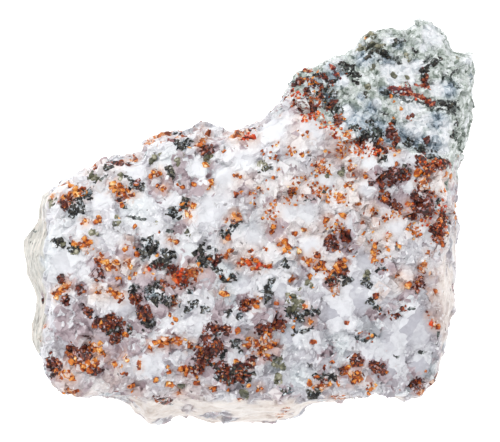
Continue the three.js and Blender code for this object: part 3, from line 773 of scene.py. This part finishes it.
def rock_material(name):
    """Coarse granular calcite and feldspar, freshly broken: white to mauve-grey crystals that let light
    in a little, each with flat cleavage faces that catch the light at its own angle. Past the corner's
    edge it turns to fine grey-green grains with white and blue-grey patches."""
    material = bpy.data.materials.new(name)
    material.use_nodes = True
    tree = material.node_tree
    shader = tree.nodes["Principled BSDF"]
    place = add(tree, ATTRIBUTE, attribute_name="place").outputs["Vector"]
    marks = {mark: add(tree, ATTRIBUTE, attribute_name=mark).outputs["Fac"] for mark in ROCK_TONES}
    heights = {}
    numbers = {}
    for size_name, size_mm, slope, shift in (
        ("large", CRYSTAL_MM, 0.25, 0.0),
        ("chip", CHIP_MM, 0.55, CHIP_SHIFT),
        ("sugar", SUGAR_MM, 0.5, 23.0),
        ("fine", CORNER_GRAIN_MM, 0.8, 37.0),
    ):
        heights[size_name], numbers[size_name] = facets(tree, place, 1 / size_mm, slope, shift)
    cloud = add(
        tree, NOISE, inputs={"Vector": place, "Scale": 0.55, "Detail": 4.0, "Roughness": 0.62}
    ).outputs["Fac"]

    cream, ribs = band_colours(tree, place)
    base = coated(
        tree, crystal_colour(tree, marks, numbers, cloud),
        (marks["cream_band"], 0.85, cream),
        (marks["ribbed_band"], 0.8, ribs),
        (marks["corner"], 1.0, corner_colour(tree, marks, numbers, cloud)),
    )
    # The flush minerals have ragged edges and mixed grains inside.
    ragged = add(tree, MATH, cloud, 0.5, operation="SUBTRACT")
    ragged = add(tree, MATH, numbers["sugar"]["Y"], 0.5, ragged, operation="MULTIPLY_ADD")
    for mineral, (edge, grain, axis, stops) in FLUSH.items():
        strength = add(tree, ATTRIBUTE, attribute_name=mineral).outputs["Fac"]
        strength = add(tree, MATH, strength, ragged, operation="ADD")
        shows = add(tree, RANGE, strength, edge - 0.06, edge + 0.06, 0.0, 1.0)
        base = coated(tree, base, (shows, 1.0, add(tree, RAMP, numbers[grain][axis], stops=stops)))

    calm = add(tree, MATH, marks["cream_band"], marks["ribbed_band"], operation="MAXIMUM")
    calm = add(tree, MATH, calm, marks["clean"], operation="MAXIMUM")
    calm = add(tree, MATH, calm, -CALMED, 1.0, operation="MULTIPLY_ADD")
    height = add(tree, MATH, heights["chip"], heights["sugar"], operation="ADD")
    broken = sugary(tree, numbers["large"])
    height = add(tree, MATH, height, broken, heights["large"], operation="MULTIPLY_ADD")
    height = add(tree, MATH, height, calm, operation="MULTIPLY")
    height = add(tree, MATH, heights["fine"], marks["corner"], height, operation="MULTIPLY_ADD")
    feed(
        tree,
        shader,
        {
            "Base Color": base,
            "Roughness": add(tree, MATH, numbers["chip"]["X"], 0.35, 0.4, operation="MULTIPLY_ADD"),
            "IOR": 1.54,
            "Subsurface Weight": 0.25,
            "Subsurface Radius": (1.0, 0.9, 0.95),
            "Subsurface Scale": 0.8 * MM,
            "Normal": add(tree, "ShaderNodeBump", inputs={"Strength": 1.0, "Distance": MM, "Height": height}),
        },
    )
    return material


def grain_material(name, stops, gloss, ior, mottle_mm=0.5, mottle=0.5, rusty=0.0, gleam=0.5, hot=None):
    """A mineral whose grains each have their own tone, mottled within, and painted shade where they go in."""
    material = bpy.data.materials.new(name)
    material.use_nodes = True
    tree = material.node_tree
    shader = tree.nodes["Principled BSDF"]
    place = add(tree, "ShaderNodeTexCoord").outputs["Object"]
    place_mm = add(tree, VECTOR, place, inputs={"Scale": 1 / MM}, operation="SCALE")
    height, spot = facets(tree, place_mm, 1 / mottle_mm, 0.6)
    own_tone, painted_shade_rise, glow = [
        add(tree, ATTRIBUTE, attribute_name=mark).outputs["Fac"] for mark in ("tone", "painted_shade_rise", "hot")
    ]
    # Painted shade: corners that lie lower in the rock get a darker tone.
    tone = weighted(tree, (own_tone, 1 - mottle), (spot["X"], mottle), (painted_shade_rise, 0.3))
    tone = add(tree, MATH, tone, 0.06, operation="SUBTRACT")
    base = add(tree, RAMP, tone, stops=stops)
    if hot:
        base = coated(tree, base, (glow, 1.0, add(tree, RAMP, tone, stops=hot)))
    feed(
        tree,
        shader,
        {
            "Base Color": base,
            "Roughness": gloss,
            "IOR": ior,
            "Specular IOR Level": gleam,
            "Subsurface Weight": rusty,
            "Subsurface Radius": (1.0, 0.35, 0.15),
            "Subsurface Scale": 0.5 * MM,
            "Normal": add(tree, "ShaderNodeBump", inputs={"Strength": 0.9, "Distance": MM, "Height": height}),
        },
    )
    return material


# White to mauve crystals and the grey-green grains of the corner: one look, which follows the tones.
pale_crystal_broken = rock_material("pale_crystal_rock_broken")
corner_broken = rock_material("grey_green_grains_broken")
# Glassy garnet-like grains, orange to rust-brown, a little clear; their palest tones are painted glints.
orange_glassy = grain_material(
    "orange_grains_glassy",
    [(0.08, "#43150b"), (0.26, "#7e300f"), (0.44, "#b05217"), (0.62, "#d07a2a"), (0.8, "#e7a552"),
     (0.93, "#f6dcab")],
    0.28, 1.55, mottle=0.6, rusty=0.1, gleam=0.3,
    hot=[(0.08, "#5c130c"), (0.3, "#a92c10"), (0.55, "#d94a16"), (0.78, "#ee7a35"), (0.93, "#f7cf9c")],
)
# The same mineral where it is thick or stained: dark red-brown and glossy; its palest tone is a painted
# glint.
dark_red_glassy = grain_material(
    "dark_red_grains_glassy",
    [(0.05, "#150c0d"), (0.28, "#351717"), (0.48, "#5a231b"), (0.64, "#84361c"), (0.8, "#b66424"),
     (0.93, "#c3abb0")],
    0.28, 1.6, mottle_mm=0.4, mottle=0.6, gleam=0.3,
)
# Mica split along its sheets: near black, with a green cast, glossy, and painted glints in its palest tones.
mica_split = grain_material(
    "black_green_mica_split",
    [(0.1, "#100f10"), (0.36, "#1f1f22"), (0.56, "#38342d"), (0.7, "#5f5c50"), (0.82, "#8a9096"),
     (0.93, "#c6ccd2")],
    0.3, 1.58, mottle_mm=0.4, mottle=0.62, gleam=0.25,
)
# Olivine-like grains: half clear, olive to tan.
olive_clear = grain_material(
    "olive_grains_half_clear",
    [(0.05, "#2f3126"), (0.35, "#54543f"), (0.6, "#77755c"), (0.8, "#98957d"), (0.95, "#c6c4b3")],
    0.3, 1.6, mottle_mm=0.6,
)


# ---- Geometry Nodes ----


def broken_face_tree():
    """Breaks the skin into flat crystal facets and keeps each point's uneven place for the materials."""
    tree, size, end = new_tree(
        "broken_crystal_faces",
        {
            "Crystals per mm": 1 / CRYSTAL_MM,
            "Crystal slope": 0.6,
            "Chips per mm": 1 / CHIP_MM,
            "Chip slope": 0.7,
            "Cut back": CUT_BACK_MM,
        },
    )
    place = add(tree, VECTOR, add(tree, POSITION), inputs={"Scale": 1 / MM}, operation="SCALE")
    wander = add(tree, NOISE, inputs={"Vector": place, "Scale": 0.7, "Detail": 2.0}, noise_dimensions="3D")
    wander = add(tree, VECTOR, wander.outputs["Color"], (0.5, 0.5, 0.5), operation="SUBTRACT")
    wander = add(tree, VECTOR, wander, inputs={"Scale": WANDER_MM}, operation="SCALE")
    uneven = add(tree, VECTOR, place, wander, operation="ADD")
    stored = add(
        tree, STORE, size["Geometry"], inputs={"Name": "place", "Value": uneven}, data_type="FLOAT_VECTOR"
    )
    large_height, large = facets(tree, uneven, size["Crystals per mm"], size["Crystal slope"])
    chip_height, _ = facets(tree, uneven, size["Chips per mm"], size["Chip slope"], CHIP_SHIFT)
    height = add(tree, MATH, chip_height, sugary(tree, large), large_height, operation="MULTIPLY_ADD")
    calm = 0.0
    for name in ("cream_band", "ribbed_band", "clean"):
        smooth = add(tree, STORED, inputs={"Name": name}, data_type="FLOAT")
        calm = add(tree, MATH, calm, smooth, operation="MAXIMUM")
    calm = add(tree, MATH, calm, -CALMED, 1.0, operation="MULTIPLY_ADD")
    height = add(tree, MATH, height, calm, operation="MULTIPLY")
    height = add(tree, MATH, height, size["Cut back"], operation="SUBTRACT")
    above_floor = add(tree, SPLIT, place).outputs["Z"]
    free = add(tree, RANGE, above_floor, 0.1, 1.5, 0.0, 1.0, interpolation_type="SMOOTHSTEP")
    height = add(tree, MATH, height, free, operation="MULTIPLY")
    height = add(tree, MATH, height, MM, operation="MULTIPLY")
    normal = add(tree, "GeometryNodeInputNormal")
    push = add(tree, VECTOR, normal, inputs={"Scale": height}, operation="SCALE")
    moved = add(tree, MOVE, inputs={"Geometry": stored, "Offset": push})
    tree.links.new(moved.outputs["Geometry"], end.inputs["Geometry"])
    return tree


def drawn_for_each(tree, seed, ranges):
    """Random numbers for each grain, by name, each between its two ends."""
    drawn = {}
    for turn, (name, (least, most)) in enumerate(ranges.items(), start=11):
        own_seed = add(tree, MATH, seed, float(turn), operation="ADD")
        drawn[name] = add(
            tree,
            "FunctionNodeRandomValue",
            inputs={"Min": least, "Max": most, "Seed": own_seed},
            data_type="FLOAT",
        )
    return drawn


def finished_grains(tree, size, grains):
    """Makes set-in blocks real and uneven, stores what their material needs and keeps them off the floor."""
    real = add(tree, "GeometryNodeRealizeInstances", inputs={"Geometry": grains})
    place = add(tree, VECTOR, add(tree, POSITION), inputs={"Scale": 1 / MM}, operation="SCALE")
    placed = add(tree, STORE, real, inputs={"Name": "place", "Value": place}, data_type="FLOAT_VECTOR")

    # How far each corner rises out of the rock, as a share of the grain's width, for the painted shade.
    centre, outward = [
        add(tree, STORED, inputs={"Name": name}, data_type="FLOAT_VECTOR") for name in ("centre", "outward")
    ]
    painted_shade_rise = add(tree, VECTOR, add(tree, POSITION), centre, operation="SUBTRACT")
    painted_shade_rise = add(tree, VECTOR, painted_shade_rise, outward, operation="DOT_PRODUCT").outputs["Value"]
    placed = add(tree, STORE, placed, inputs={"Name": "painted_shade_rise", "Value": painted_shade_rise}, data_type="FLOAT")
    for name in ("centre", "outward"):
        placed = add(tree, "GeometryNodeRemoveAttribute", inputs={"Geometry": placed, "Name": name})
    wobble = add(tree, NOISE, inputs={"Vector": place, "Scale": 1.3, "Detail": 1.0}, noise_dimensions="3D")
    bent = add(tree, VECTOR, wobble.outputs["Color"], (0.5, 0.5, 0.5), operation="SUBTRACT")
    reach = add(tree, MATH, size["Irregularity"], MM, operation="MULTIPLY")
    bent = add(tree, VECTOR, bent, inputs={"Scale": reach}, operation="SCALE")
    uneven = add(tree, MOVE, inputs={"Geometry": placed, "Offset": bent})

    # Nothing reaches below the floor.
    here = add(tree, SPLIT, add(tree, POSITION)).outputs
    above = add(tree, MATH, here["Z"], 0.05 * MM, operation="MAXIMUM")
    lifted = add(tree, JOIN, here["X"], here["Y"], above)
    kept = add(tree, MOVE, inputs={"Geometry": uneven, "Position": lifted})
    shaded = add(tree, "GeometryNodeSetShadeSmooth", inputs={"Geometry": kept, "Shade Smooth": False})
    return add(tree, "GeometryNodeSetMaterial", inputs={"Geometry": shaded, "Material": size["Material"]})


def grain_tree():
    """Sets grains of one mineral into the skin, close together where the mineral's field is strong."""
    tree, size, end = new_tree(
        "grains_set_in",
        {
            "Field": "",
            "Spacing": 1.0,
            "Smallest": 0.8,
            "Largest": 1.6,
            "Stretch": 0.4,
            "Thickness": 0.8,
            "Tilt": math.pi,
            "Sink": 0.2,
            "Roundness": 1.0,
            "Irregularity": 0.2,
            "Corners": 3,
            "Material": None,
            "Seed": 1,
        },
    )
    spacing = add(tree, MATH, size["Spacing"], MM, operation="MULTIPLY")
    area = add(tree, MATH, spacing, spacing, operation="MULTIPLY")
    strength, proud = [
        add(tree, STORED, inputs={"Name": name}, data_type="FLOAT") for name in (size["Field"], "proud")
    ]
    points = add(
        tree,
        "GeometryNodeDistributePointsOnFaces",
        inputs={
            "Mesh": size["Geometry"],
            "Distance Min": spacing,
            "Density Max": add(tree, MATH, CROWDING, area, operation="DIVIDE"),
            "Density Factor": add(tree, MATH, strength, proud, operation="MULTIPLY"),
            "Seed": size["Seed"],
        },
        distribute_method="POISSON",
    )
    normal = points.outputs["Normal"]

    tilt = size["Tilt"]
    tilt_back = add(tree, MATH, tilt, -1.0, operation="MULTIPLY")
    drawn = drawn_for_each(
        tree,
        size["Seed"],
        {
            "tone": (0.0, 1.0),
            "width": (size["Smallest"], size["Largest"]),
            "stretch": (0.0, size["Stretch"]),
            "tilt_x": (tilt_back, tilt),
            "tilt_y": (tilt_back, tilt),
            "spin": (0.0, 2 * math.pi),
        },
    )
    width = add(tree, MATH, drawn["width"], MM, operation="MULTIPLY")
    length = add(tree, MATH, drawn["stretch"], width, width, operation="MULTIPLY_ADD")
    thickness = add(tree, MATH, width, size["Thickness"], operation="MULTIPLY")
    outward = add(tree, VECTOR, normal, width, operation="DIVIDE")
    stored = points.outputs["Points"]
    for name, value, data_type in (
        ("tone", drawn["tone"], "FLOAT"),
        ("centre", add(tree, POSITION), "FLOAT_VECTOR"),
        ("outward", outward, "FLOAT_VECTOR"),
    ):
        stored = add(tree, STORE, stored, inputs={"Name": name, "Value": value}, data_type=data_type)
    depth = add(tree, MATH, width, size["Sink"], operation="MULTIPLY")
    depth = add(tree, MATH, depth, -1.0, operation="MULTIPLY")
    sink = add(tree, VECTOR, normal, inputs={"Scale": depth}, operation="SCALE")
    sunk = add(tree, MOVE, inputs={"Geometry": stored, "Offset": sink})

    # Each grain spins about the skin's normal, then tilts.
    turned = points.outputs["Rotation"]
    for angles in ((None, None, drawn["spin"]), (drawn["tilt_x"], drawn["tilt_y"], 0.0)):
        turn = add(tree, "FunctionNodeEulerToRotation", add(tree, JOIN, *angles))
        turned = add(tree, "FunctionNodeRotateRotation", turned, turn, rotation_space="LOCAL")

    corners = size["Corners"]
    block = add(
        tree,
        "GeometryNodeMeshCube",
        inputs={"Size": (1.0, 1.0, 1.0), "Vertices X": corners, "Vertices Y": corners, "Vertices Z": corners},
    )
    corner_place = add(tree, POSITION)
    ball = add(tree, VECTOR, corner_place, operation="NORMALIZE")
    ball = add(tree, VECTOR, ball, inputs={"Scale": BALL_RADIUS}, operation="SCALE")
    rounded = add(
        tree, MIX, inputs={"Factor": size["Roundness"], "A": corner_place, "B": ball}, data_type="VECTOR"
    )
    shape = add(tree, MOVE, inputs={"Geometry": block.outputs["Mesh"], "Position": rounded})
    grains = add(
        tree,
        "GeometryNodeInstanceOnPoints",
        inputs={
            "Points": sunk,
            "Instance": shape,
            "Rotation": turned,
            "Scale": add(tree, JOIN, length, width, thickness),
        },
    )
    finished = finished_grains(tree, size, grains)
    tree.links.new(finished.outputs["Geometry"], end.inputs["Geometry"])
    return tree


# ---- The pieces ----

skin_mesh = bare_skin()
mark_minerals(skin_mesh)
rock = run_tree("rock_matrix", skin_mesh, broken_face_tree(), {})
rock.data.materials.clear()
rock.data.materials.append(pale_crystal_broken)
rock.data.shade_flat()
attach(rock, "root")
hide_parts(ROCK)

# Each mineral's grains: field, spacing, sizes in mm, shape, material and the record's slot.
GRAINS = {
    "pale_crystals": {
        "Field": "pale", "Spacing": 2.4, "Smallest": 1.0, "Largest": 2.4, "Stretch": 0.5, "Thickness": 0.7,
        "Tilt": 0.6, "Sink": 0.42, "Roundness": 0.0, "Irregularity": 0.9, "Corners": 2,
        "Material": pale_crystal_broken, "Seed": 3, "slot": "pale_crystal_rock",
    },
    "corner_grains": {
        "Field": "corner_grain", "Spacing": 0.9, "Smallest": 0.6, "Largest": 1.3, "Stretch": 0.6,
        "Thickness": 0.8, "Tilt": 1.0, "Sink": 0.34, "Roundness": 0.1, "Irregularity": 0.6, "Corners": 2,
        "Material": corner_broken, "Seed": 5, "slot": "grey_green_grains",
    },
    "orange_grains": {
        "Field": "orange", "Spacing": 0.95, "Smallest": 0.6, "Largest": 1.45, "Stretch": 0.5,
        "Thickness": 0.8, "Tilt": 3.1, "Sink": 0.28, "Roundness": 0.6, "Irregularity": 0.9, "Corners": 3,
        "Material": orange_glassy, "Seed": 7, "slot": "orange_grains",
    },
    "fine_orange_grains": {
        "Field": "fine_orange", "Spacing": 0.7, "Smallest": 0.4, "Largest": 0.85, "Stretch": 0.4,
        "Thickness": 0.85, "Tilt": 3.1, "Sink": 0.2, "Roundness": 0.6, "Irregularity": 0.5, "Corners": 2,
        "Material": orange_glassy, "Seed": 9, "slot": "orange_grains",
    },
    "dark_red_grains": {
        "Field": "dark_red", "Spacing": 0.72, "Smallest": 0.5, "Largest": 1.2, "Stretch": 0.5,
        "Thickness": 0.8, "Tilt": 3.1, "Sink": 0.22, "Roundness": 0.5, "Irregularity": 0.6, "Corners": 2,
        "Material": dark_red_glassy, "Seed": 13, "slot": "dark_red_grains",
    },
    "mica_flakes": {
        "Field": "flake", "Spacing": 0.65, "Smallest": 0.4, "Largest": 1.05, "Stretch": 1.4,
        "Thickness": 0.3, "Tilt": 0.5, "Sink": 0.04, "Roundness": 0.2, "Irregularity": 0.7, "Corners": 2,
        "Material": mica_split, "Seed": 17, "slot": "dark_flakes",
    },
    "olive_grains": {
        "Field": "olive", "Spacing": 0.9, "Smallest": 0.8, "Largest": 1.5, "Stretch": 0.4,
        "Thickness": 0.8, "Tilt": 3.1, "Sink": 0.3, "Roundness": 0.7, "Irregularity": 0.7, "Corners": 3,
        "Material": olive_clear, "Seed": 23, "slot": "grey_green_grains",
    },
    "corner_dark_grains": {
        "Field": "corner_black", "Spacing": 0.6, "Smallest": 0.4, "Largest": 0.95, "Stretch": 1.0,
        "Thickness": 0.5, "Tilt": 1.2, "Sink": 0.1, "Roundness": 0.2, "Irregularity": 0.5, "Corners": 2,
        "Material": mica_split, "Seed": 19, "slot": "dark_flakes",
    },
}

set_in = grain_tree()
for piece_name, grain in GRAINS.items():
    values = {key: value for key, value in grain.items() if key != "slot"}
    piece = run_tree(piece_name, rock.data.copy(), set_in, values)
    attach(piece, "root")
